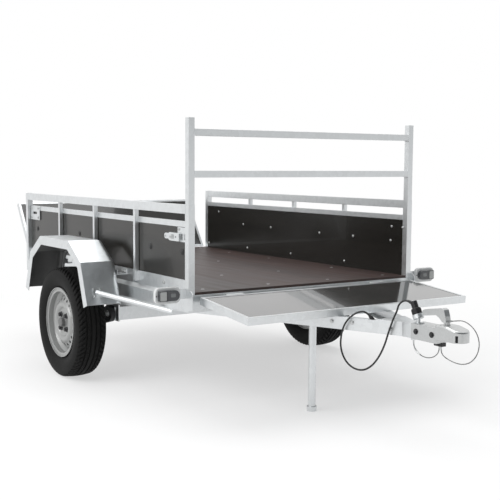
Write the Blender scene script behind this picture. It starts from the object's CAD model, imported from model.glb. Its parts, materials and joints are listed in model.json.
"""Studio view of a single-axle utility trailer with a folding front gate.

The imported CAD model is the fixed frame. This script adds the camera, the cords,
the fine mechanical detail and the procedural finishes. The frame is in metres,
+X points forwards to the coupling, +Y to the trailer's left and +Z up. Places on
the trailer are given in millimetres from the bed's front face, and bed() turns
them into frame points. Sizes of added pieces are in metres.
"""
import json
import logging
import math
from dataclasses import dataclass, field
from enum import Enum
from typing import Callable, Sequence

import bmesh
import bpy
from mathutils import Matrix, Vector


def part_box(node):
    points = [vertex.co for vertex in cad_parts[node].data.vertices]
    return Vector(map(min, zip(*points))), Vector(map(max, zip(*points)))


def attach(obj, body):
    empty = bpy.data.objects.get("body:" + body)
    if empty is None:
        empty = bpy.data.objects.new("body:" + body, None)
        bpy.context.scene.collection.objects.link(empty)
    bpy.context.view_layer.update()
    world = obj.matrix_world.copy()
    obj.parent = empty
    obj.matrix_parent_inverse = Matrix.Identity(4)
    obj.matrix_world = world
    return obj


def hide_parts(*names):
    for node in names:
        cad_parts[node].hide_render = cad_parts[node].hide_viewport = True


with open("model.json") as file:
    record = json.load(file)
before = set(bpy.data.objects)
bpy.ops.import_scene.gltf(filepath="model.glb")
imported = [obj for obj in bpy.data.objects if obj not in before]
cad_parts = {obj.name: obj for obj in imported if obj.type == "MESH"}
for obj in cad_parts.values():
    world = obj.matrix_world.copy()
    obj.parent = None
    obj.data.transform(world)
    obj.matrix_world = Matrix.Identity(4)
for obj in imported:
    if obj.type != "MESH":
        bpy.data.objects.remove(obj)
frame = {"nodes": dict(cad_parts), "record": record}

LOG = logging.getLogger("trailer_scene")

Point = Sequence[float]
Pair = tuple[float, float]
Triple = tuple[float, float, float]
BMesh = bmesh.types.BMesh
Material = bpy.types.Material
Node = bpy.types.Node
Socket = bpy.types.NodeSocket
Tree = bpy.types.NodeTree

# Frame X of the bed's front face, in metres
BED_FRONT_X = 0.62803

# Places in millimetres that several classes use
AXLE_X = -995.0
WHEEL_Y = 806.6
WHEEL_Z = 289.0

# Colours of films and worn spots
ZINC_DUST = (0.50, 0.49, 0.47)
ROAD_FILM = (0.022, 0.021, 0.020)
BARE_WOOD = (0.20, 0.12, 0.07)
WOOD_DUST = (0.12, 0.10, 0.09)
WHITE = (1.0, 1.0, 1.0)


def bed(x: float, y: float, z: float) -> Vector:
    """Frame point in metres of a place in millimetres from the bed's front face."""
    return Vector((x / 1000 + BED_FRONT_X, y / 1000, z / 1000))


def polar(radius: float, angle: float, height: float = 0.0) -> Vector:
    """Point at a radius, an angle and a height."""
    return Vector((radius * math.cos(angle), radius * math.sin(angle), height))


def facing(point: Point, normal: Point) -> Matrix:
    """Transform whose local Z is a normal, at a point."""
    turn = Vector((0, 0, 1)).rotation_difference(Vector(normal).normalized())
    return Matrix.Translation(Vector(point)) @ turn.to_matrix().to_4x4()


def shade(color: Triple, factor: float, lift: float = 0.0) -> Triple:
    """Colour times a factor and with a lift, at most white."""
    return tuple(min(1.0, channel * factor + lift) for channel in color)


class Side(Enum):
    """Sides of the trailer, with the sign of their Y."""

    RIGHT = -1
    LEFT = 1

    @property
    def outward(self) -> Vector:
        """Direction away from the trailer's middle."""
        return Vector((0, self.value, 0))

    def label(self, stem: str) -> str:
        """Name of a node or piece on this side."""
        return stem + "_" + self.name.lower()

    def bed(self, x: float, y: float, z: float) -> Vector:
        """Frame point of a place that is given for the left side."""
        return bed(x, self.value * y, z)


class Slot(Enum):
    """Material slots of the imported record."""

    GALVANISED = "galvanised_steel"
    ZINC = "zinc_coupling"
    DARK_STEEL = "dark_steel"
    HUB = "cast_hub"
    RIM = "wheel_silver"
    TYRE = "tyre_rubber"
    FILM_PLY = "film_plywood"
    FLOOR_PLY = "floor_plywood"
    LAMP_HOUSING = "lamp_housing"
    SMOKED_LENS = "smoked_lens"
    RED_LENS = "red_lens"
    BLACK_PLASTIC = "black_plastic"
    CABLE = "cable_sheath"
    ROPE = "steel_rope"


@dataclass(frozen=True)
class Finish:
    """Numbers of one surface finish.

    Args:
        color: Base colour, linear RGB.
        second: Colour of rubbed edges, or of the light veins in plywood.
        metallic: Metal share of the surface.
        roughness: Mean roughness.
        coat: Clear coat weight.
        bump: Strength of the fine relief.
        specular: Level of the surface's own reflection.
        uneven: Rise of the roughness in the light veins of plywood.
    """

    color: Triple
    second: Triple = WHITE
    metallic: float = 0.0
    roughness: float = 0.5
    coat: float = 0.0
    bump: float = 0.1
    specular: float = 0.5
    uneven: float = 0.0


GALVANISED = Finish((0.71, 0.73, 0.74), (0.74, 0.75, 0.76), metallic=1.0, roughness=0.36, bump=0.02)
ZINC = Finish((0.55, 0.56, 0.56), (0.74, 0.75, 0.76), metallic=1.0, roughness=0.32, bump=0.02)
FILM_PLY = Finish((0.010, 0.0092, 0.0076), (0.016, 0.0145, 0.012), roughness=0.24, coat=0.12,
                  bump=0.004, specular=0.42, uneven=0.02)
GATE_FILM = Finish((0.012, 0.0115, 0.010), (0.018, 0.017, 0.015), roughness=0.13, coat=0.75,
                   bump=0.003, uneven=0.01)
FLOOR_PLY = Finish((0.026, 0.0135, 0.0115), (0.060, 0.032, 0.027), roughness=0.46, bump=0.2,
                   uneven=0.10)
PLAIN = {
    Slot.DARK_STEEL: Finish((0.030, 0.030, 0.032), (0.20, 0.20, 0.21), metallic=0.3),
    Slot.HUB: Finish((0.20, 0.20, 0.20), (0.5, 0.5, 0.5), metallic=0.6, bump=0.2),
    Slot.RIM: Finish((0.36, 0.365, 0.36), (0.3, 0.3, 0.3), metallic=0.35, roughness=0.42,
                     coat=0.2, bump=0.03),
    Slot.TYRE: Finish((0.0045, 0.0045, 0.0043), (0.05, 0.05, 0.05), roughness=0.70, bump=0.12,
                      specular=0.22),
    Slot.LAMP_HOUSING: Finish((0.66, 0.67, 0.67), (0.85, 0.85, 0.85), roughness=0.35, coat=0.2,
                              bump=0.03),
    Slot.BLACK_PLASTIC: Finish((0.008, 0.008, 0.009), (0.05, 0.05, 0.05), roughness=0.42),
    Slot.CABLE: Finish((0.006, 0.006, 0.0065), (0.03, 0.03, 0.03), roughness=0.40, bump=0.05),
    Slot.ROPE: Finish((0.15, 0.15, 0.15), (0.7, 0.7, 0.7), metallic=0.4, roughness=0.45),
}


class NodeBuilder:
    """Short-hand for making nodes in one node tree.

    Args:
        tree: Tree that takes the nodes.
    """

    def __init__(self, tree: Tree) -> None:
        """Keep the tree."""
        self.tree = tree

    def put(self, target: Socket, value: object) -> None:
        """Link a socket into an input, or set the input's own value.

        Args:
            target: Input socket.
            value: Output socket, number, vector or colour. None leaves the input as it is.
        """
        if isinstance(value, bpy.types.NodeSocket):
            self.tree.links.new(value, target)
        elif value is not None:
            target.default_value = (*value[:3], 1.0) if target.type == "RGBA" else value

    def add(self, kind: str, *inputs: object, **settings: object) -> Node:
        """Make a node, and set its properties and inputs.

        Args:
            kind: Blender's node class, without ShaderNode in front.
            inputs: What goes into the first inputs, in order.
            settings: Property values, or what goes into inputs, under the socket's
                name with spaces written as underscores.

        Returns:
            The new node.
        """
        node = self.tree.nodes.new("ShaderNode" + kind)
        for key, value in settings.items():
            if hasattr(node, key):
                setattr(node, key, value)
            else:
                self.put(node.inputs[key.replace("_", " ")], value)
        for index, value in enumerate(inputs):
            self.put(node.inputs[index], value)
        return node

    def give(self, **values: Socket) -> Tree:
        """Link a group's outputs.

        Args:
            values: Socket for each named output.

        Returns:
            The group's tree.
        """
        out = self.tree.nodes.new("NodeGroupOutput")
        for label, value in values.items():
            self.put(out.inputs[label], value)
        return self.tree

    def place(self) -> Socket:
        """Object coordinates."""
        return self.add("TexCoord").outputs["Object"]

    def math(self, operation: str, first: object, second: object) -> Socket:
        """Output of a math node on sockets or numbers."""
        return self.add("Math", first, second, operation=operation).outputs[0]

    def vector(self, operation: str, *values: object) -> Node:
        """Vector math node on sockets or vectors."""
        return self.add("VectorMath", *values, operation=operation)

    def noise(self, place: Socket, **settings: object) -> Node:
        """Noise texture at coordinates."""
        return self.add("TexNoise", Vector=place, **settings)

    def remap(self, value: Socket, low: float, high: float, out_low: float = 0.0,
              out_high: float = 1.0) -> Socket:
        """Map a value from one range to another, clamped."""
        return self.add("MapRange", value, low, high, out_low, out_high).outputs[0]

    def mix(self, factor: Socket, first: object, second: object) -> Socket:
        """Mix two colours.

        Args:
            factor: Share of the second colour.
            first: Socket or colour.
            second: Socket or colour.

        Returns:
            The mixed colour.
        """
        node = self.add("Mix", factor, data_type="RGBA")
        self.put(node.inputs[6], first)
        self.put(node.inputs[7], second)
        return node.outputs[2]


class EffectGroups:
    """Node groups for effects that more than one material uses."""

    def __init__(self) -> None:
        """Make each group once."""
        self.spangle = self._spangle()
        self.wear = self._wear()
        self.dust = self._dust()
        self.grain = self._grain()

    @staticmethod
    def _new(name: str, inputs: dict[str, float], outputs: dict[str, str]) -> tuple[NodeBuilder, Node]:
        """Begin a group with its sockets.

        Args:
            name: Name of the group.
            inputs: Label and default of each input.
            outputs: Label and kind of each output.

        Returns:
            Builder for the group's tree, and its input node.
        """
        tree = bpy.data.node_groups.new(name, "ShaderNodeTree")
        for label, value in inputs.items():
            socket = tree.interface.new_socket(label, in_out="INPUT", socket_type="NodeSocketFloat")
            socket.default_value = value
        for label, kind in outputs.items():
            tree.interface.new_socket(label, in_out="OUTPUT", socket_type="NodeSocket" + kind)
        return NodeBuilder(tree), tree.nodes.new("NodeGroupInput")

    def _spangle(self) -> Tree:
        """Zinc crystals: a value for each crystal and slow drifts in brightness.

        Returns:
            The group.
        """
        kit, given = self._new("zinc_spangle", {"Scale": 60.0}, {"Crystal": "Float", "Drift": "Float"})
        place = kit.place()
        warp = kit.noise(place, Scale=30.0, Detail=2.0)
        shifted = kit.vector("MULTIPLY_ADD", warp.outputs["Color"], (0.012, 0.012, 0.012), place)
        cells = kit.add("TexVoronoi", feature="F1", Vector=shifted.outputs[0],
                        Scale=given.outputs["Scale"])
        split = kit.add("SeparateColor", cells.outputs["Color"])
        drift = kit.noise(place, Scale=3.0, Detail=4.0, Roughness=0.6)
        return kit.give(Crystal=split.outputs[0], Drift=drift.outputs[0])

    def _wear(self) -> Tree:
        """Mask of rubbed convex edges, and the rounded normal that goes with them.

        Returns:
            The group.
        """
        kit, given = self._new("edge_wear", {"Radius": 0.002, "Amount": 0.5},
                               {"Mask": "Float", "Normal": "Vector"})
        soft = kit.add("Bevel", samples=4, Radius=given.outputs["Radius"]).outputs[0]
        sharp = kit.add("NewGeometry").outputs["Normal"]
        edge = kit.remap(kit.vector("DOT_PRODUCT", soft, sharp).outputs["Value"], 0.999, 0.85)
        broken = kit.remap(kit.noise(kit.place(), Scale=45.0, Detail=5.0).outputs[0], 0.42, 0.62)
        worn = kit.math("MULTIPLY", edge, broken)
        return kit.give(Mask=kit.math("MULTIPLY", worn, given.outputs["Amount"]), Normal=soft)

    def _dust(self) -> Tree:
        """Mask of dust, heaviest on upward faces.

        Returns:
            The group.
        """
        kit, given = self._new("dust", {"Amount": 0.5}, {"Mask": "Float"})
        split = kit.add("SeparateXYZ", kit.add("NewGeometry").outputs["Normal"])
        upward = kit.remap(split.outputs["Z"], 0.3, 1.0, 0.25, 1.0)
        noise = kit.noise(kit.place(), Scale=7.0, Detail=6.0, Roughness=0.65)
        fallen = kit.math("MULTIPLY", upward, kit.remap(noise.outputs[0], 0.40, 0.75))
        return kit.give(Mask=kit.math("MULTIPLY", fallen, given.outputs["Amount"]))

    def _grain(self) -> Tree:
        """Wood veins that run along X, for boards and the floor.

        Returns:
            The group.
        """
        kit, _ = self._new("wood_grain", {}, {"Veins": "Float", "Fibre": "Float"})
        place = kit.place()
        stretch = kit.add("Mapping", Vector=place, Scale=(1.2, 14.0, 14.0))
        veins = kit.noise(stretch.outputs[0], Scale=1.0, Detail=5.0, Roughness=0.6, Distortion=0.8)
        fine = kit.add("Mapping", Vector=place, Scale=(8.0, 260.0, 260.0))
        fibre = kit.noise(fine.outputs[0], Scale=1.0, Detail=3.0)
        return kit.give(Veins=veins.outputs[0], Fibre=fibre.outputs[0])


class FinishLibrary:
    """Materials of the trailer, one for each slot and a few for single pieces."""

    def __init__(self) -> None:
        """Make every material."""
        self.groups = EffectGroups()
        self.by_slot: dict[Slot, Material] = {
            Slot.GALVANISED: self._zinc_coated("galvanised_steel", GALVANISED, 48.0),
            Slot.ZINC: self._zinc_coated("zinc_coupling", ZINC, 120.0),
            Slot.FILM_PLY: self._plywood("film_plywood", FILM_PLY),
            Slot.FLOOR_PLY: self._plywood("floor_plywood", FLOOR_PLY),
            Slot.SMOKED_LENS: self._lens("smoked_lens", (0.040, 0.043, 0.048)),
            Slot.RED_LENS: self._lens("red_lens", (0.45, 0.012, 0.010)),
        }
        for slot, finish in PLAIN.items():
            self.by_slot[slot] = self._plain(slot.value, finish)
        self.gate_film = self._plywood("gate_film", GATE_FILM)
        self.mudguard = self._zinc_coated("mudguard_steel", GALVANISED, 48.0, grime=True)
        self.pale_lens = self._lens("pale_lens", (0.42, 0.43, 0.42))
        self.grey_lens = self._lens("grey_lens", (0.16, 0.17, 0.17))
        self.amber_lens = self._lens("amber_lens", (0.62, 0.16, 0.01))

    @staticmethod
    def _start(name: str, finish: Finish) -> tuple[NodeBuilder, Material, Node]:
        """Begin a material whose shader holds the even numbers of a finish.

        Args:
            name: Its name.
            finish: Numbers to set.

        Returns:
            Builder for the material's tree, the material and its shader.
        """
        material = bpy.data.materials.new(name)
        material.use_nodes = True
        material.node_tree.nodes.clear()
        kit = NodeBuilder(material.node_tree)
        shader = kit.add("BsdfPrincipled", Metallic=finish.metallic, Roughness=finish.roughness,
                         Coat_Weight=finish.coat, Specular_IOR_Level=finish.specular)
        kit.add("OutputMaterial", Surface=shader.outputs[0])
        return kit, material, shader

    @staticmethod
    def _surface(kit: NodeBuilder, shader: Node, color: Socket, rough: Socket | None, height: Socket,
                 relief: Pair, normal: Socket | None) -> None:
        """Link what varies over a surface.

        Args:
            kit: Builder of its nodes.
            shader: The material's shader.
            color: Base colour.
            rough: Roughness, or None where it is even.
            height: Height of the fine relief.
            relief: Strength and depth of the relief.
            normal: Normal under the relief, or None for the mesh's own.
        """
        bump = kit.add("Bump", Strength=relief[0], Distance=relief[1], Height=height, Normal=normal)
        for label, value in (("Base Color", color), ("Roughness", rough), ("Normal", bump.outputs[0])):
            kit.put(shader.inputs[label], value)

    @staticmethod
    def _arch_side(kit: NodeBuilder, most: float) -> Socket:
        """Mask of the faces that look at the axle, where the wheel throws road film.

        Args:
            kit: Builder of its nodes.
            most: Largest value of the mask.

        Returns:
            The mask.
        """
        geometry = kit.add("NewGeometry")
        reach = kit.vector("SUBTRACT", bed(AXLE_X, 0, WHEEL_Z), geometry.outputs["Position"])
        flat = kit.vector("MULTIPLY", reach.outputs[0], (1.0, 0.0, 1.0))
        toward = kit.vector("NORMALIZE", flat.outputs[0])
        dot = kit.vector("DOT_PRODUCT", toward.outputs[0], geometry.outputs["True Normal"])
        return kit.remap(dot.outputs["Value"], 0.15, 0.45, 0.0, most)

    def _zinc_coated(self, name: str, finish: Finish, scale: float, grime: bool = False) -> Material:
        """Zinc coating with its spangle, and road film inside the mudguards where asked.

        Args:
            name: Its name.
            finish: Numbers of the coating.
            scale: Crystals along a metre.
            grime: Whether faces that look at the axle carry road film.

        Returns:
            The material.
        """
        kit, material, shader = self._start(name, finish)
        spangle = kit.add("Group", node_tree=self.groups.spangle, Scale=scale)
        wear = kit.add("Group", node_tree=self.groups.wear, Radius=0.0012, Amount=0.5)
        dust = kit.add("Group", node_tree=self.groups.dust, Amount=0.25)
        crystal, drift = spangle.outputs["Crystal"], spangle.outputs["Drift"]
        light = shade(finish.color, 1.05)
        crystals = kit.mix(crystal, shade(finish.color, 0.95), light)
        cloudy = kit.mix(kit.remap(drift, 0.35, 0.7, 0.0, 0.45), crystals, light)
        rubbed = kit.mix(wear.outputs["Mask"], cloudy, finish.second)
        color = kit.mix(dust.outputs["Mask"], rubbed, ZINC_DUST)
        if grime:
            most = 0.93
            arch = self._arch_side(kit, most)
            color = kit.mix(arch, color, ROAD_FILM)
            kit.put(shader.inputs["Metallic"], kit.remap(arch, 0.0, most, 1.0, 0.1))
        rough = kit.remap(crystal, 0.0, 1.0, finish.roughness - 0.02, finish.roughness + 0.03)
        self._surface(kit, shader, color, rough, drift, (finish.bump, 0.002), wear.outputs["Normal"])
        return material

    def _plain(self, name: str, finish: Finish) -> Material:
        """Paint, rubber, plastic or bare metal with a fine mottle.

        Args:
            name: Its name.
            finish: Its numbers.

        Returns:
            The material.
        """
        kit, material, shader = self._start(name, finish)
        wear = kit.add("Group", node_tree=self.groups.wear, Radius=0.001, Amount=0.6)
        dust = kit.add("Group", node_tree=self.groups.dust, Amount=0.35)
        noise = kit.noise(kit.place(), Scale=220.0, Detail=4.0).outputs[0]
        mottled = kit.mix(noise, shade(finish.color, 0.85), finish.color)
        rubbed = kit.mix(wear.outputs["Mask"], mottled, finish.second)
        color = kit.mix(dust.outputs["Mask"], rubbed, shade(finish.color, 0.6, 0.03))
        rough = kit.remap(noise, 0.3, 0.7, finish.roughness - 0.05, finish.roughness + 0.06)
        self._surface(kit, shader, color, rough, noise, (finish.bump, 0.0006), wear.outputs["Normal"])
        return material

    def _plywood(self, name: str, finish: Finish) -> Material:
        """Filmed plywood with veins under the film.

        Args:
            name: Its name.
            finish: Its numbers.

        Returns:
            The material.
        """
        kit, material, shader = self._start(name, finish)
        grain = kit.add("Group", node_tree=self.groups.grain)
        wear = kit.add("Group", node_tree=self.groups.wear, Radius=0.0008, Amount=0.5)
        dust = kit.add("Group", node_tree=self.groups.dust, Amount=0.10)
        veins, fibre = grain.outputs["Veins"], grain.outputs["Fibre"]
        stained = kit.mix(kit.remap(veins, 0.35, 0.7, 0.0, 0.8), finish.color, finish.second)
        rubbed = kit.mix(wear.outputs["Mask"], stained, BARE_WOOD)
        color = kit.mix(dust.outputs["Mask"], rubbed, WOOD_DUST)
        rough = kit.remap(veins, 0.3, 0.7, finish.roughness - finish.uneven / 2,
                          finish.roughness + finish.uneven)
        self._surface(kit, shader, color, rough, fibre, (finish.bump, 0.0005), wear.outputs["Normal"])
        return material

    def _lens(self, name: str, color: Triple) -> Material:
        """Ribbed lens of a lamp.

        Args:
            name: Its name.
            color: Colour of the lens.

        Returns:
            The material.
        """
        kit, material, shader = self._start(name, Finish(color, roughness=0.08, coat=0.6))
        kit.put(shader.inputs["IOR"], 1.49)
        ribs = kit.add("TexWave", bands_direction="Z", Vector=kit.place(), Scale=55.0).outputs["Fac"]
        self._surface(kit, shader, kit.mix(ribs, shade(color, 0.72), color), None, ribs,
                      (0.25, 0.001), None)
        return material

    def dress_frame(self) -> None:
        """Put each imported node's finish on its object."""
        special = {"mudguard_left": self.mudguard, "mudguard_right": self.mudguard,
                   "front_gate_panel": self.gate_film, "tailgate_panel": self.gate_film}
        for part in frame["record"]["subparts"]:
            node = frame["nodes"][part["node"]]
            plain = self.by_slot[Slot(part["material_slot"])]
            node.data.materials.clear()
            node.data.materials.append(special.get(part["node"], plain))


class MeshKit:
    """Closed meshes from a few kinds of section."""

    @staticmethod
    def revolve(mesh: BMesh, outline: Sequence[Pair], steps: int, place: Matrix,
                radial: Callable[[float, float, float], float] | None = None) -> None:
        """Turn a closed outline of radius and height about the local Z axis.

        Args:
            mesh: Takes the faces.
            outline: Points of radius and height, the first not repeated.
            steps: Parts of the full turn.
            place: Transform from local space.
            radial: Optional change of radius at radius, height and angle.
        """
        rings = []
        for step in range(steps):
            angle = 2 * math.pi * step / steps
            ring = []
            for radius, height in outline:
                reach = radius if radial is None else radius + radial(radius, height, angle)
                ring.append(mesh.verts.new(place @ polar(reach, angle, height)))
            rings.append(ring)
        for here, there in zip(rings, rings[1:] + rings[:1]):
            for index in range(len(outline)):
                after = (index + 1) % len(outline)
                mesh.faces.new((here[index], there[index], there[after], here[after]))

    @staticmethod
    def stack(mesh: BMesh, rings: Sequence[Sequence[Point]]) -> None:
        """Join rings of points in order and close both ends.

        Args:
            mesh: Takes the faces.
            rings: Rings with the same number of points each.
        """
        made = [[mesh.verts.new(point) for point in ring] for ring in rings]
        for low, high in zip(made, made[1:]):
            for index in range(len(low)):
                after = (index + 1) % len(low)
                mesh.faces.new((low[index], low[after], high[after], high[index]))
        mesh.faces.new(made[0][::-1])
        mesh.faces.new(made[-1])

    @staticmethod
    def arc(start: Pair, middle: Pair, end: Pair, steps: int) -> list[Pair]:
        """Points of the circular arc through three points.

        Args:
            start: First point.
            middle: Any point between.
            end: Last point.
            steps: Parts of the arc.

        Returns:
            The points, with both ends.
        """
        (ax, ay), (bx, by), (cx, cy) = start, middle, end
        scale = 2 * (ax * (by - cy) + bx * (cy - ay) + cx * (ay - by))
        squares = (ax * ax + ay * ay, bx * bx + by * by, cx * cx + cy * cy)
        centre_x = (squares[0] * (by - cy) + squares[1] * (cy - ay) + squares[2] * (ay - by)) / scale
        centre_y = (squares[0] * (cx - bx) + squares[1] * (ax - cx) + squares[2] * (bx - ax)) / scale
        first, half, last = (math.atan2(y - centre_y, x - centre_x) for x, y in (start, middle, end))
        full = 2 * math.pi
        sweep = (last - first) % full
        if (half - first) % full > sweep:
            sweep -= full
        radius = math.hypot(ax - centre_x, ay - centre_y)
        angles = [first + sweep * step / steps for step in range(steps + 1)]
        return [(centre_x + radius * math.cos(angle), centre_y + radius * math.sin(angle))
                for angle in angles]

    @staticmethod
    def prism(mesh: BMesh, sides: int, levels: Sequence[Pair], place: Matrix) -> None:
        """Stack of regular polygons.

        Args:
            mesh: Takes the faces.
            sides: Corners of the polygons.
            levels: Radius and height of each polygon.
            place: Transform from local space.
        """
        angles = [2 * math.pi * (index + 0.5) / sides for index in range(sides)]
        MeshKit.stack(mesh, [[place @ polar(radius, angle, height) for angle in angles]
                             for radius, height in levels])

    @staticmethod
    def pad(mesh: BMesh, half: Pair, corner: float, levels: Sequence[Pair], place: Matrix) -> None:
        """Rounded rectangle in steps of inset and height.

        Args:
            mesh: Takes the faces.
            half: Half sizes along the local X and Y axes.
            corner: Corner radius with no inset.
            levels: Inset and height of each step.
            place: Transform from local space.
        """
        rings = []
        steps = 5
        for inset, height in levels:
            round_off = max(corner - inset, 0.0003)
            ring = []
            for quarter in range(4):
                sign_x = 1 if quarter in (0, 3) else -1
                sign_y = 1 if quarter in (0, 1) else -1
                for step in range(steps + 1):
                    angle = math.pi / 2 * (quarter + step / steps)
                    x = sign_x * (half[0] - inset - round_off) + round_off * math.cos(angle)
                    y = sign_y * (half[1] - inset - round_off) + round_off * math.sin(angle)
                    ring.append(place @ Vector((x, y, height)))
            rings.append(ring)
        MeshKit.stack(mesh, rings)

    @staticmethod
    def sweep(mesh: BMesh, path: Sequence[Vector], radius: float, sides: int) -> None:
        """Round rod along a path.

        Args:
            mesh: Takes the faces.
            path: Middle line.
            radius: Radius of the rod.
            sides: Corners of its section.
        """
        side = Vector((0, 0, 1)).cross(path[1] - path[0])
        if side.length < 1e-9:
            side = Vector((1, 0, 0))
        rings = []
        for index, point in enumerate(path):
            along = (path[min(index + 1, len(path) - 1)] - path[max(index - 1, 0)]).normalized()
            side = (side - along * side.dot(along)).normalized()
            other = along.cross(side)
            angles = [2 * math.pi * corner / sides for corner in range(sides)]
            rings.append([point + (side * math.cos(angle) + other * math.sin(angle)) * radius
                          for angle in angles])
        MeshKit.stack(mesh, rings)

    @staticmethod
    def dome(mesh: BMesh, point: Point, normal: Point, radius: float) -> None:
        """Round-headed bolt on a washer.

        Args:
            mesh: Takes the faces.
            point: Where the washer's underside lies.
            normal: Direction of the bolt's head.
            radius: Radius of the head.
        """
        place = facing(point, normal)
        MeshKit.prism(mesh, 20, ((radius * 1.35, -0.0004), (radius * 1.35, 0.0012)), place)
        MeshKit.prism(mesh, 20, ((radius, 0.0010), (radius * 0.92, 0.0028), (radius * 0.62, 0.0044),
                                 (radius * 0.2, 0.0050)), place)

    @staticmethod
    def hexagon(mesh: BMesh, point: Point, normal: Point, radius: float) -> None:
        """Hexagon head on a washer.

        Args:
            mesh: Takes the faces.
            point: Where the washer's underside lies.
            normal: Direction of the head.
            radius: Radius over the head's corners.
        """
        place = facing(point, normal)
        MeshKit.prism(mesh, 24, ((radius * 1.45, -0.0004), (radius * 1.45, 0.0014)), place)
        MeshKit.prism(mesh, 6, ((radius, 0.0012), (radius, 0.0012 + radius * 0.62),
                                (radius * 0.86, 0.0012 + radius * 0.78)), place)


@dataclass
class SubAssembly:
    """Group of added pieces.

    Args:
        finishes: Materials to use.
        made: Pieces made so far.
    """

    finishes: FinishLibrary
    made: list[bpy.types.Object] = field(default_factory=list)

    def piece(self, name: str, mesh: BMesh, slot: Slot, body: str = "trailer",
              material: Material | None = None, smooth: float = 35.0) -> bpy.types.Object:
        """Turn a mesh into a named object that rides on a body.

        Args:
            name: Piece name.
            mesh: Geometry, freed afterwards.
            slot: Record slot of its finish.
            body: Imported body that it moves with.
            material: Finish in place of the slot's own.
            smooth: Largest angle in degrees that shades smooth.

        Returns:
            The new object.
        """
        bmesh.ops.recalc_face_normals(mesh, faces=mesh.faces)
        limit = math.radians(smooth)
        for face in mesh.faces:
            face.smooth = True
        for edge in mesh.edges:
            if len(edge.link_faces) == 2 and edge.calc_face_angle() > limit:
                edge.smooth = False
        data = bpy.data.meshes.new(name)
        mesh.to_mesh(data)
        mesh.free()
        data.materials.append(material or self.finishes.by_slot[slot])
        thing = bpy.data.objects.new(name, data)
        bpy.context.scene.collection.objects.link(thing)
        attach(thing, body)
        self.made.append(thing)
        return thing

    def build(self) -> None:
        """Make the pieces."""
        raise NotImplementedError


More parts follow.
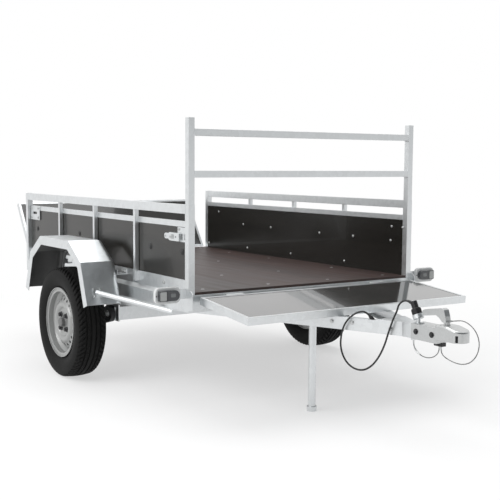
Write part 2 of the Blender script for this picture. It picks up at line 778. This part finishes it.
@dataclass
class Studio:
    """Camera, lights, sky and floor. The turn is yaw, pitch and roll in degrees."""

    position: Point = (4.1586, -2.7238, 1.1076)
    turn: Triple = (32.8033, -5.452, 0.2545)
    lens: float = 66.72
    shift: Pair = (0.0389, 0.0093)
    dark_sky: Triple = (0.13, 0.145, 0.155)
    floor_reach: float = 30.0
    lights: Sequence[tuple[str, Point, Point, Pair, float]] = (
        ("key", (0.6, -5.0, 4.2), (0.0, 0.0, 0.5), (4.5, 3.0), 170.0),
        ("top", (0.0, 0.5, 5.2), (0.0, 0.0, 0.4), (4.5, 3.5), 90.0),
    )

    def camera(self) -> None:
        """Camera at the photograph's place and angle."""
        yaw, pitch, roll = (math.radians(value) for value in self.turn)
        ahead = Vector((-math.cos(yaw) * math.cos(pitch), math.sin(yaw) * math.cos(pitch),
                        math.sin(pitch)))
        right = ahead.cross(Vector((0, 0, 1))).normalized()
        up = right.cross(ahead)
        turned_right = right * math.cos(roll) + up * math.sin(roll)
        turned_up = up * math.cos(roll) - right * math.sin(roll)
        data = bpy.data.cameras.new("camera")
        data.lens = self.lens
        data.sensor_width = 36.0
        data.shift_x, data.shift_y = self.shift
        data.clip_end = 100.0
        thing = bpy.data.objects.new("camera", data)
        basis = Matrix((turned_right, turned_up, -ahead)).transposed()
        thing.matrix_world = Matrix.Translation(Vector(self.position)) @ basis.to_4x4()
        bpy.context.scene.collection.objects.link(thing)
        bpy.context.scene.camera = thing

    @staticmethod
    def light(name: str, place: Point, target: Point, size: Pair, power: float) -> None:
        """Rectangular soft light aimed at a point.

        Args:
            name: Name of the light.
            place: Its middle.
            target: Point that it is aimed at.
            size: Its two sides.
            power: Power in watts.
        """
        data = bpy.data.lights.new(name, "AREA")
        data.shape = "RECTANGLE"
        data.size, data.size_y = size
        data.energy = power
        thing = bpy.data.objects.new(name, data)
        turn = (Vector(target) - Vector(place)).to_track_quat("-Z", "Y")
        thing.matrix_world = Matrix.Translation(Vector(place)) @ turn.to_matrix().to_4x4()
        bpy.context.scene.collection.objects.link(thing)

    def surroundings(self) -> None:
        """White floor, a world that is darker high ahead of the trailer, and soft lights."""
        scene = bpy.context.scene
        scene.view_settings.view_transform = "Standard"
        world = bpy.data.worlds.new("studio")
        world.use_nodes = True
        kit = NodeBuilder(world.node_tree)
        backdrop = world.node_tree.nodes["Background"]
        split = kit.add("SeparateXYZ", kit.add("TexCoord").outputs["Generated"])
        ahead = kit.remap(split.outputs["X"], 0.05, 0.60)
        above = kit.remap(split.outputs["Z"], 0.04, 0.22)
        sky = kit.mix(kit.math("MULTIPLY", ahead, above), WHITE, self.dark_sky)
        kit.put(backdrop.inputs["Color"], sky)
        kit.put(backdrop.inputs["Strength"], 1.0)
        scene.world = world
        data = bpy.data.meshes.new("studio_floor")
        reach = self.floor_reach
        data.from_pydata([(-reach, -reach, 0), (reach, -reach, 0), (reach, reach, 0), (-reach, reach, 0)],
                         [], [(0, 1, 2, 3)])
        floor = bpy.data.objects.new("studio_floor", data)
        scene.collection.objects.link(floor)
        data.materials.append(self.paper())
        for settings in self.lights:
            self.light(*settings)

    @staticmethod
    def paper() -> Material:
        """White studio paper that keeps a light shadow and turns plain white away from the object.

        Returns:
            The material.
        """
        material = bpy.data.materials.new("paper")
        material.use_nodes = True
        kit = NodeBuilder(material.node_tree)
        nodes = material.node_tree.nodes
        shader = nodes["Principled BSDF"]
        for label, value in (("Base Color", (0.90, 0.90, 0.90)), ("Roughness", 0.9),
                             ("Specular IOR Level", 0.0)):
            kit.put(shader.inputs[label], value)
        seen = kit.add("LightPath")
        looked = kit.math("MAXIMUM", seen.outputs["Is Camera Ray"], seen.outputs["Is Glossy Ray"])
        looked = kit.math("MAXIMUM", looked, seen.outputs["Is Transmission Ray"])
        away = kit.vector("LENGTH", kit.add("NewGeometry").outputs["Position"])
        plain = kit.remap(away.outputs["Value"], 1.2, 3.4, 0.55, 1.0)
        glow = kit.add("Emission", Strength=1.0, Color=WHITE)
        blend = kit.add("MixShader", kit.math("MULTIPLY", looked, plain), shader.outputs[0],
                        glow.outputs[0])
        kit.put(nodes["Material Output"].inputs["Surface"], blend.outputs[0])
        return material


# Routes of the cords, with the same points as the CAD model
CABLE_ROUTE = (
    (550, -84, 464), (538.7, -100.2, 488.3), (516, -123, 488), (492, -140, 470), (470, -153, 443),
    (455, -160, 410), (446, -162, 372), (442, -161, 331), (451, -156, 291), (472, -146, 256),
    (506, -131, 235), (545, -114, 235), (579, -100, 259), (603, -89, 293), (622, -82, 330),
    (637, -77, 369), (648, -74, 407), (660, -70, 443), (667, -62, 476), (673, -49, 505),
    (670, -39, 530), (682, -28, 547), (699.5, -19.9, 551.7), (717.5, -16, 545.9),
)
LONG_ROPE_ROUTE = (
    (918.1, 0, 492), (961.6, 0, 501), (1006, -7, 508), (1049, -10, 495), (1083, -12, 467),
    (1100, -17, 428), (1097, -26, 388), (1074, -33, 357), (1039, -36, 342), (1004, -35, 340),
    (972, -33, 343), (944, -27, 347), (920, -18, 350), (900, -11, 356), (890, -8, 369.8),
    (890, -8, 386),
)
SHORT_ROPE_ROUTE = (
    (745, -20, 392), (745, -20, 366.5), (759, -15, 345), (782, -15, 333), (808, -15, 328),
    (834, -13, 330), (858, -8, 340), (867, 6, 360.4), (867, 6, 386),
)


@dataclass
class Cords(SubAssembly):
    """Lighting cable and the two steel ropes.

    The sleeve's steps are a share of one rib and the groove's depth there. The lay is the
    length of rope in which the strands turn once.
    """

    sleeve_bore: float = 0.00405
    sleeve_ribs: int = 4
    sleeve_steps: Sequence[Pair] = ((0.15, 0.0), (0.55, 0.0), (0.65, 0.0009), (0.95, 0.0009))
    strands: int = 6
    strand: float = 0.00080
    offset: float = 0.00136
    lay: float = 0.024
    step: float = 0.0022
    ferrule: float = 0.0034

    @staticmethod
    def curve(name: str, points: Sequence[Vector], radius: float) -> bpy.types.Object:
        """Smooth open curve with the route's points as its control points.

        Args:
            name: Name of the curve.
            points: Control points.
            radius: Radius of the cord, or 0 for a bare line.

        Returns:
            The curve object.
        """
        data = bpy.data.curves.new(name, "CURVE")
        data.dimensions = "3D"
        data.resolution_u = 12
        data.bevel_depth = radius
        data.bevel_resolution = 4
        data.use_fill_caps = True
        spline = data.splines.new("NURBS")
        spline.points.add(len(points) - 1)
        for place, point in zip(spline.points, points):
            place.co = (*point, 1.0)
        spline.order_u = 3
        spline.use_endpoint_u = True
        thing = bpy.data.objects.new(name, data)
        bpy.context.scene.collection.objects.link(thing)
        return thing

    def centreline(self, name: str, points: Sequence[Vector]) -> list[Vector]:
        """Points of the smooth curve.

        Args:
            name: Name of the helper curve, which is removed again.
            points: Control points.

        Returns:
            Points along the curve.
        """
        guide = self.curve(name, points, 0.0)
        bpy.context.view_layer.update()
        mesh = bpy.data.meshes.new_from_object(guide)
        line = [vertex.co.copy() for vertex in mesh.vertices]
        bpy.data.meshes.remove(mesh)
        bpy.data.objects.remove(guide)
        return line

    def build(self) -> None:
        """Make the cable as a curve and the ropes as twisted strands."""
        route = [bed(*point) for point in CABLE_ROUTE]
        cable = self.curve("cable_run", route, 0.004)
        cable.data.materials.append(self.finishes.by_slot[Slot.CABLE])
        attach(cable, "trailer")
        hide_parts("lighting_cable")
        tuple(route[0])
        self.made.append(cable)
        self.relief("plug_relief", route[-1], route[-2] - route[-1], (0.0068, 0.0046), 0.015)
        self.relief("gland_relief", route[0], route[1] - route[0], (0.0086, 0.0047), 0.014)
        self.rope("long_rope", LONG_ROPE_ROUTE, 0.512, ((0.0, 0.020), (0.495, 0.512)))
        self.rope("short_rope", SHORT_ROPE_ROUTE, 0.205, ((0.0, 0.016), (0.034, 0.074), (0.190, 0.205)))

    def relief(self, name: str, mouth: Vector, along: Vector, radii: Pair, length: float) -> None:
        """Ribbed tapered sleeve on the cable where it leaves a housing.

        Args:
            name: Piece name.
            mouth: Middle of the sleeve's wide end.
            along: Direction of the cable.
            radii: Radius at the wide and at the narrow end.
            length: Length of the sleeve.
        """
        bore = self.sleeve_bore
        outline = [(bore, 0.0), (radii[0], 0.0)]
        for rib in range(self.sleeve_ribs):
            for share, groove in self.sleeve_steps:
                at = (rib + share) / self.sleeve_ribs
                radius = radii[0] + (radii[1] - radii[0]) * at
                outline.append((max(bore + 0.0003, radius - groove * (1 - at)), at * length))
        outline += [(radii[1], length), (bore, length)]
        mesh = bmesh.new()
        MeshKit.revolve(mesh, outline, 24, facing(mouth, along))
        self.piece(name, mesh, Slot.BLACK_PLASTIC)

    def rope(self, node: str, points: Sequence[Point], length: float, ferrules: Sequence[Pair]) -> None:
        """Strands laid round a core, along one rope's curve.

        Args:
            node: Packed rope that they replace.
            points: The rope's route.
            length: Stated length.
            ferrules: Start and end distances of the pressed sleeves.
        """
        route = [bed(*point) for point in points]
        smooth = self.even(self.centreline(node + "_guide", route), self.step)
        side = Vector((0, 1, 0))
        travelled = 0.0
        paths: list[list[Vector]] = [[] for _ in range(self.strands)]
        for index, point in enumerate(smooth):
            before = smooth[max(index - 1, 0)]
            along = (smooth[min(index + 1, len(smooth) - 1)] - before).normalized()
            side = (side - along * side.dot(along)).normalized()
            other = along.cross(side)
            travelled += (point - before).length
            for number, path in enumerate(paths):
                angle = 2 * math.pi * (number / self.strands + travelled / self.lay)
                path.append(point + (side * math.cos(angle) + other * math.sin(angle)) * self.offset)
        mesh = bmesh.new()
        for path in (*paths, smooth):
            MeshKit.sweep(mesh, path, self.strand, 6)
        thing = self.piece(node + "_strands", mesh, Slot.ROPE)
        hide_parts(node)
        tuple(route[0])
        mesh = bmesh.new()
        for ends in ferrules:
            first, last = (round(end / length * (len(smooth) - 1)) for end in ends)
            MeshKit.sweep(mesh, smooth[first:last + 1], self.ferrule, 16)
        self.piece(node + "_ferrules", mesh, Slot.ZINC)

    @staticmethod
    def even(line: Sequence[Vector], step: float) -> list[Vector]:
        """Points at an even distance along a line.

        Args:
            line: Points of the line.
            step: Distance wanted.

        Returns:
            The points, with both ends of the line.
        """
        marks = [0.0]
        for before, after in zip(line, line[1:]):
            marks.append(marks[-1] + (after - before).length)
        count = max(2, round(marks[-1] / step))
        result = []
        segment = 0
        for index in range(count + 1):
            distance = marks[-1] * index / count
            while segment < len(line) - 2 and marks[segment + 1] < distance:
                segment += 1
            span = marks[segment + 1] - marks[segment]
            share = (distance - marks[segment]) / span if span else 0.0
            result.append(line[segment].lerp(line[segment + 1], min(1.0, share)))
        return result


@dataclass
class Wheels(SubAssembly):
    """Treaded tyres, wheel bolts and valves.

    Grooves are pairs of distance from the tyre's middle and half width. A cut is the lean,
    the share of the pitch and the depth of cross grooves. Rings on the wall are radius,
    half width and height.
    """

    blocks: int = 64
    block_steps: int = 6
    radius: float = 0.289
    tread_from: float = 0.2755
    grooves: Sequence[Pair] = ((0.0365, 0.0042), (0.0120, 0.0040))
    groove_depth: float = 0.0072
    groove_clear: float = 0.0055
    shoulder: float = 0.040
    shoulder_cut: Triple = (0.25, 0.34, -0.0058)
    centre: float = 0.016
    centre_cut: Triple = (0.9, 0.18, -0.0042)
    rings: Sequence[Triple] = ((0.1905, 0.0022, 0.0012), (0.2015, 0.0014, 0.0007),
                            (0.2425, 0.0012, 0.0005), (0.2545, 0.0016, 0.0008))
    bolt_circle: float = 0.05
    disc_face: float = 0.0395
    valve: Pair = (0.1495, 0.026)

    def tread_change(self, radius: float, height: float, angle: float) -> float:
        """Depth of the cross grooves at a place on the tread.

        Args:
            radius: Radius with no groove.
            height: Distance from the tyre's middle, with its sign.
            angle: Angle round the axle.

        Returns:
            Change of radius.
        """
        across = abs(height)
        if radius < self.tread_from or across <= self.centre:
            return 0.0
        if any(abs(across - place) < self.groove_clear for place, _ in self.grooves):
            return 0.0
        lean, width, depth = self.shoulder_cut
        if across <= self.shoulder:
            lean, width, depth = self.centre_cut
            lean = math.copysign(lean, height)
        pitch = 2 * math.pi / self.blocks
        phase = ((angle + lean * across / self.radius * 4) / pitch) % 1.0
        return depth if phase < width else 0.0

    def tyre_outline(self) -> list[Pair]:
        """Section of the tyre: bead, ringed wall, round shoulder, grooved tread and inside.

        Returns:
            Points of radius and distance from the tyre's middle.
        """
        wall = MeshKit.arc((0.1835, 0.0566), (0.22705, 0.0775), (0.2706, 0.0746), 26)
        turn = MeshKit.arc((0.2706, 0.0746), (0.2807, 0.0674), (0.2850, 0.0535), 8)
        crown = MeshKit.arc((0.2850, 0.0535), (0.2890, 0.0), (0.2850, -0.0535), 54)
        half = [(0.1654, 0.0566)]
        for radius, across in wall:
            lifts = [high * max(0.0, 1 - ((radius - middle) / width) ** 2)
                     for middle, width, high in self.rings]
            half.append((radius, across + max(lifts)))
        half += turn[1:]
        tread = []
        for radius, across in crown[1:-1]:
            cut = any(abs(abs(across) - place) < width for place, width in self.grooves)
            tread.append((radius - self.groove_depth if cut else radius, across))
        inner = [(0.1654, 0.0466), (0.1835, 0.0466)]
        inner += MeshKit.arc((0.1835, 0.0466), (0.22705, 0.0675), (0.2670, 0.0535), 8)[1:]
        inner += [(0.2760, 0.0300)]
        outer = half + tread + [(radius, -across) for radius, across in reversed(half)]
        back = [(radius, -across) for radius, across in inner]
        return outer + back + [(0.2790, 0.0)] + list(reversed(inner))

    def build(self) -> None:
        """Make both wheels' pieces."""
        for side in Side:
            body = side.label("wheel")
            place = facing(side.bed(AXLE_X, WHEEL_Y, WHEEL_Z), side.outward)
            mesh = bmesh.new()
            MeshKit.revolve(mesh, self.tyre_outline(), self.blocks * self.block_steps, place,
                            self.tread_change)
            tyre = self.piece(side.label("tyre_tread"), mesh, Slot.TYRE, body, smooth=28.0)
            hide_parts(side.label("tyre"))
            self.bolts(side, place)

    def bolts(self, side: Side, place: Matrix) -> None:
        """Four wheel bolts and a valve on one wheel.

        Args:
            side: Side of the trailer.
            place: Transform from the wheel's own space.
        """
        mesh = bmesh.new()
        for index in range(4):
            foot = polar(self.bolt_circle, math.pi / 2 * (index + 0.5), self.disc_face)
            local = place @ Matrix.Translation(foot)
            MeshKit.prism(mesh, 24, ((0.0150, 0.0), (0.0150, 0.0020), (0.0115, 0.0060)), local)
            MeshKit.prism(mesh, 6, ((0.0110, 0.0050), (0.0110, 0.0140), (0.0096, 0.0160)), local)
        self.piece(side.label("wheel_bolts"), mesh, Slot.DARK_STEEL, side.label("wheel"))
        mesh = bmesh.new()
        stem = place @ Matrix.Translation(polar(self.valve[0], 0.0, self.valve[1]))
        MeshKit.prism(mesh, 16, ((0.0060, -0.004), (0.0060, 0.010), (0.0042, 0.014), (0.0042, 0.026),
                                 (0.0036, 0.028)), stem)
        self.piece(side.label("valve"), mesh, Slot.BLACK_PLASTIC, side.label("wheel"))


@dataclass
class Fasteners(SubAssembly):
    """Bolt and screw heads on the boards, floor, beams, axle, mudguards, drawbar and coupling.

    Places are in millimetres, pairs of them are x and z, and angles are in degrees.
    """

    board_points: Sequence[Pair] = (
        (-31, 794), (-114, 795), (-120, 721), (-425, 724), (-726, 723), (-1217, 726),
        (-1530, 729), (-1833, 798), (-498, 578), (-1005, 578), (-1480, 578), (-1960, 578),
    )
    cap_points: Sequence[Pair] = ((-95, 720), (-400, 724), (-1242, 731), (-1870, 722))
    board_faces: Pair = (636.5, 646.5)
    web_y: float = 649.0
    web_points: Sequence[Pair] = ((-45, 492), (-525, 492), (-1005, 492), (-1485, 492), (-1965, 492),
                                  (-263, 566))
    floor_rows: Sequence[float] = (-80, -500, -1110, -1560, -1930)
    floor_columns: Sequence[float] = (-548, -181, 181, 548)
    floor_top: float = 546.0
    stay_face: Triple = (-600.96, 835.0, 488.0)
    stay_slope: float = 20.19
    stay_spread: float = 0.0175
    bracket_offsets: Pair = (300, 328)
    bracket_face: Pair = (653.0, 577.0)
    pivot: Triple = (-850.0, 664.0, 338.0)
    clamp: Triple = (55.0, 650.0, 448.0)
    leg_points: Sequence[Triple] = ((388.4, -167.7, 432.4), (479.0, -127.9, 435.0), (643.0, -55.7, 425.0))
    leg_angle: float = 23.75
    sleeve: Sequence[Triple] = ((776, 39, 433), (866, 39, 433))
    indicator: Triple = (998, 29.2, 434.5)

    def build(self) -> None:
        """Make all the heads, as one piece for each carrier."""
        for side in Side:
            self.boards(side)
            self.running_gear(side)
        self.drawbar()
        mesh = bmesh.new()
        for x in self.floor_rows:
            for y in self.floor_columns:
                place = facing(bed(x, y, self.floor_top), (0, 0, 1))
                MeshKit.prism(mesh, 18, ((0.0085, -0.001), (0.0085, 0.0006), (0.0060, 0.0010)), place)
                MeshKit.prism(mesh, 6, ((0.0026, 0.0008), (0.0026, 0.0014)), place)
        self.piece("floor_screws", mesh, Slot.ZINC)

    def boards(self, side: Side) -> None:
        """Bolts through one side board and its beam.

        Args:
            side: Side of the trailer.
        """
        inner_y, outer_y = self.board_faces
        mesh = bmesh.new()
        for x, z in self.board_points:
            MeshKit.dome(mesh, side.bed(x, inner_y, z), -side.outward, 0.0055)
        for x, z in self.web_points:
            MeshKit.hexagon(mesh, side.bed(x, self.web_y, z), side.outward, 0.0075)
        self.piece(side.label("board_bolts"), mesh, Slot.ZINC)
        mesh = bmesh.new()
        for x, z in self.cap_points:
            MeshKit.dome(mesh, side.bed(x, outer_y, z), side.outward, 0.0110)
        self.piece(side.label("board_caps"), mesh, Slot.BLACK_PLASTIC)

    def running_gear(self, side: Side) -> None:
        """Bolts of one side's mudguard, stays, axle bracket and arm.

        Args:
            side: Side of the trailer.
        """
        mesh = bmesh.new()
        slope = math.radians(self.stay_slope)
        face_x, face_y, face_z = self.stay_face
        spread = self.stay_spread
        for turn in (1, -1):
            normal = Vector((turn * math.cos(slope), 0, math.sin(slope)))
            rise = Vector((-turn * math.sin(slope), 0, math.cos(slope)))
            centre_x = face_x if turn == 1 else 2 * AXLE_X - face_x
            centre = side.bed(centre_x, face_y, face_z) + normal * 0.003
            for across, up in ((-spread, -spread), (spread, -spread), (-spread, spread), (spread, spread)):
                MeshKit.hexagon(mesh, centre + rise * up + Vector((0, across, 0)), normal, 0.0042)
            for offset in self.bracket_offsets:
                point = side.bed(AXLE_X + turn * offset, *self.bracket_face)
                MeshKit.hexagon(mesh, point, side.outward, 0.0055)
        pivot_x, pivot_y, pivot_z = self.pivot
        clamp_x, clamp_y, clamp_z = self.clamp
        for offset in (-clamp_x, clamp_x):
            MeshKit.hexagon(mesh, side.bed(pivot_x + offset, clamp_y, clamp_z), (0, 0, -1), 0.0085)
        MeshKit.hexagon(mesh, side.bed(pivot_x, pivot_y, pivot_z), side.outward, 0.0120)
        self.piece(side.label("gear_bolts"), mesh, Slot.ZINC)

    def drawbar(self) -> None:
        """Bolts on the drawbar's legs and through the coupling's sleeve."""
        angle = math.radians(self.leg_angle)
        bolts, coupling = bmesh.new(), bmesh.new()
        for x, y, z in self.leg_points:
            for side in Side:
                normal = (math.sin(angle), side.value * math.cos(angle), 0)
                MeshKit.hexagon(bolts, side.bed(x, -y, z), normal, 0.0070)
        self.piece("drawbar_bolts", bolts, Slot.ZINC)
        for side in Side:
            for x, y, z in self.sleeve:
                MeshKit.hexagon(coupling, side.bed(x, y, z), side.outward, 0.0085)
            x, y, z = self.indicator
            MeshKit.pad(coupling, (0.0042, 0.0130), 0.0010,
                        ((0.0, -0.0005), (0.0, 0.0008), (0.0004, 0.0012)),
                        facing(side.bed(x, y, z), side.outward))
        self.piece("coupling_bolts", coupling, Slot.DARK_STEEL)


@dataclass
class Lamps(SubAssembly):
    """Windows, gaskets and screws of the marker lamps and rear lamps."""

    proud: float = 0.0012

    def build(self) -> None:
        """Dress both sides' lamps."""
        for side in Side:
            self.marker(side)
            self.rear(side)

    @staticmethod
    def span(node: str) -> tuple[Point, Point, float, float, float]:
        """Extent of a packed lamp.

        Args:
            node: The lamp's node.

        Returns:
            Low and high corner, inner and outer distance from the trailer's middle, and
            middle height.
        """
        low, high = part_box(node)
        inner, outer = sorted((abs(low[1]), abs(high[1])))
        return low, high, inner, outer, (low[2] + high[2]) / 2

    def zone(self, name: str, centre: Point, toward: int, half: Pair, material: Material,
             slot: Slot) -> None:
        """Coloured window of a lens, a little proud of it.

        Args:
            name: Piece name.
            centre: Middle of the window on the lens.
            toward: Sign of the X that it looks along.
            half: Half height and half width.
            material: Its material.
            slot: Record slot that it belongs to.
        """
        mesh = bmesh.new()
        MeshKit.pad(mesh, half, 0.005, ((0.0, -0.004), (0.0, self.proud * 0.4), (0.0010, self.proud)),
                    facing(centre, (toward, 0, 0)))
        self.piece(name, mesh, slot, material=material)

    def screws(self, name: str, points: Sequence[Point], toward: int) -> None:
        """Small cross-headed screws.

        Args:
            name: Piece name.
            points: Where they sit.
            toward: Sign of the X that they look along.
        """
        mesh = bmesh.new()
        for point in points:
            place = facing(point, (toward, 0, 0))
            MeshKit.prism(mesh, 16, ((0.0032, -0.0005), (0.0032, 0.0008), (0.0022, 0.0014)), place)
            for turn in (0.0, math.pi / 2):
                MeshKit.pad(mesh, (0.0019, 0.0004), 0.0003, ((0.0, 0.0012), (0.0, 0.0016)),
                            place @ Matrix.Rotation(turn, 4, "Z"))
        self.piece(name, mesh, Slot.DARK_STEEL)

    def marker(self, side: Side) -> None:
        """Pale outer window, lamp glass, seam and screws of a marker lamp.

        Args:
            side: Side of the trailer.
        """
        _, (front, _, _), inner, outer, middle = self.span(side.label("marker_lens"))
        self.zone(side.label("marker_window"), (front, side.value * (outer - 0.0195), middle), 1,
                  (0.0195, 0.0160), self.finishes.pale_lens, Slot.LAMP_HOUSING)
        bulb = (front - 0.0004, side.value * (inner + 0.034), middle + 0.002)
        self.zone(side.label("marker_bulb"), bulb, 1, (0.0085, 0.0125), self.finishes.grey_lens,
                  Slot.SMOKED_LENS)
        mesh = bmesh.new()
        MeshKit.pad(mesh, (0.0215, 0.0008), 0.0006, ((0.0, -0.003), (0.0, 0.0009)),
                    facing((front, side.value * (outer - 0.0373), middle), (1, 0, 0)))
        self.piece(side.label("marker_seam"), mesh, Slot.BLACK_PLASTIC)
        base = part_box(side.label("marker_lamp"))[1][0]
        self.screws(side.label("marker_screws"),
                    [(base, side.value * y, middle) for y in (inner - 0.0066, outer + 0.0066)], 1)

    def rear(self, side: Side) -> None:
        """Amber and pale windows, gasket and screws of a rear lamp.

        Args:
            side: Side of the trailer.
        """
        low, high, inner, outer, middle = self.span(side.label("rear_lamp"))
        self.zone(side.label("rear_amber"), (low[0], side.value * (outer - 0.030), middle), -1,
                  (0.0260, 0.0220), self.finishes.amber_lens, Slot.RED_LENS)
        self.zone(side.label("rear_pale"), (low[0], side.value * (inner + 0.025), middle), -1,
                  (0.0260, 0.0170), self.finishes.pale_lens, Slot.RED_LENS)
        mesh = bmesh.new()
        rim = 0.0015
        half = ((high[2] - low[2]) / 2 + rim, (outer - inner) / 2 + rim)
        MeshKit.pad(mesh, half, 0.011, ((0.0, 0.0), (0.0, 0.0070), (0.0008, 0.0080)),
                    facing((high[0], side.value * (outer + inner) / 2, middle), (-1, 0, 0)))
        self.piece(side.label("rear_gasket"), mesh, Slot.BLACK_PLASTIC)
        self.screws(side.label("rear_screws"),
                    [(low[0], side.value * y, middle) for y in (outer - 0.0570, inner + 0.0470)], -1)


@dataclass
class Ironwork(SubAssembly):
    """Latch bolts, hinge pin heads, plug ribs and weld beads.

    Places are in millimetres. Bolts and pins end with the radius of the head in metres.
    """

    plate_bolts: Sequence[tuple[float, float, float, float]] = (
        (-50, 650.5, 823, 0.0045), (-118, 650.5, 822, 0.0045), (-46, 650.5, 774, 0.0045),
        (-1845, 653, 790, 0.0055), (-1845, 653, 846, 0.0055), (-1952, 653, 846, 0.0055),
        (-1952, 653, 790, 0.0055),
    )
    pins: Sequence[tuple[float, float, float, float]] = ((-178, 662.5, 787, 0.0060),
                                                         (-236, 656.5, 787, 0.0045))
    grip: Triple = (-146.0, 662.5, 787.0)
    grip_pitch: float = 5.5
    hinges_x: Pair = (8.0, -2018.0)
    hinge_y: float = 430.0
    hinge_z: float = 521.5
    pin_end: float = 45.5
    plug_base: Triple = (762.0, -12.0, 488.0)
    plug_lean: float = 26.5
    plug_grips: int = 24
    bar_welds: Sequence[Triple] = ((-16, 638, 1072), (-16, 638, 1256))
    upright_welds: Sequence[Triple] = ((-530, 659, 896), (-530, 659, 596), (-1005, 659, 896),
                                       (-1005, 659, 596), (-1480, 659, 896), (-1480, 659, 596))
    rail_welds: Sequence[Triple] = ((-32, 654, 916), (-1978, 654, 916))
    bead: float = 0.0020

    def build(self) -> None:
        """Make the small ironwork."""
        for side in Side:
            self.latch(side)
        self.hinge_pins()
        self.plug_ribs()
        self.welds()

    def latch(self, side: Side) -> None:
        """Bolts of the base plate and catch plate, and the lever's pins and grip.

        Args:
            side: Side of the trailer.
        """
        mesh = bmesh.new()
        for x, y, z, radius in self.plate_bolts:
            MeshKit.hexagon(mesh, side.bed(x, y, z), side.outward, radius)
        for x, y, z, radius in self.pins:
            MeshKit.dome(mesh, side.bed(x, y, z), side.outward, radius)
        x, y, z = self.grip
        for step in range(5):
            MeshKit.pad(mesh, (0.0012, 0.0105), 0.0008, ((0.0, -0.0003), (0.0, 0.0009), (0.0003, 0.0012)),
                        facing(side.bed(x - self.grip_pitch * step, y, z), side.outward))
        self.piece(side.label("latch_bolts"), mesh, Slot.ZINC)

    def hinge_pins(self) -> None:
        """Heads at both ends of each hinge pin."""
        mesh = bmesh.new()
        for x in self.hinges_x:
            for side in Side:
                for end in (-1, 1):
                    point = bed(x, side.value * self.hinge_y + end * self.pin_end, self.hinge_z)
                    MeshKit.prism(mesh, 20, ((0.0062, -0.0003), (0.0062, 0.0020), (0.0045, 0.0034)),
                                  facing(point, (0, end, 0)))
        self.piece("hinge_pin_heads", mesh, Slot.ZINC)

    def plug_ribs(self) -> None:
        """Grip ribs round the plug's body and rings round its cap."""
        lean = math.radians(self.plug_lean)
        place = facing(bed(*self.plug_base), (-math.sin(lean), 0, math.cos(lean)))
        mesh = bmesh.new()
        for index in range(self.plug_grips):
            rib = Matrix.Translation(polar(0.0199, 2 * math.pi * index / self.plug_grips))
            MeshKit.prism(mesh, 8, ((0.0006, 0.0135), (0.0011, 0.0150), (0.0011, 0.0345), (0.0006, 0.0360)),
                          place @ rib)
        for height in (0.048, 0.053, 0.058):
            MeshKit.revolve(mesh, ((0.0138, height), (0.0147, height + 0.0006), (0.0147, height + 0.0018),
                                   (0.0138, height + 0.0024)), 32, place)
        self.piece("plug_ribs", mesh, Slot.BLACK_PLASTIC)

    def ring(self, mesh: BMesh, centre: Vector, first: Point, second: Point) -> None:
        """Weld bead round a rectangle.

        Args:
            mesh: Takes the faces.
            centre: Middle of the rectangle.
            first: From the middle to one side.
            second: From the middle to the next side.
        """
        first, second = Vector(first), Vector(second)
        corners = [centre + first + second, centre - first + second, centre - first - second,
                   centre + first - second]
        path = [start.lerp(end, step / 6) for start, end in zip(corners, corners[1:] + corners[:1])
                for step in range(6)]
        MeshKit.sweep(mesh, path + corners[:1], self.bead, 8)

    def welds(self) -> None:
        """Beads where the ladder's bars, the rails and the uprights meet."""
        mesh = bmesh.new()
        for side in Side:
            for points, first, second in (
                    (self.bar_welds, (0.0148, 0, 0), (0, 0, 0.0148)),
                    (self.upright_welds, (0.0098, 0, 0), (0, 0.0098, 0)),
                    (self.rail_welds, (0, 0.0148, 0), (0, 0, 0.0195))):
                for x, y, z in points:
                    self.ring(mesh, side.bed(x, y, z), first, second)
        self.piece("weld_beads", mesh, Slot.GALVANISED)


def main() -> None:
    """Build the studio, the cords, the finishes and every added piece."""
    logging.basicConfig(level=logging.INFO)
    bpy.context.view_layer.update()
    studio = Studio()
    studio.camera()
    finishes = FinishLibrary()
    for kind in (Cords, Wheels, Fasteners, Lamps, Ironwork):
        assembly = kind(finishes)
        assembly.build()
        for thing in assembly.made:
            LOG.info("%s: %s", kind.__name__, thing.name)
    finishes.dress_frame()
    studio.surroundings()


if __name__ == "__main__":
    main()
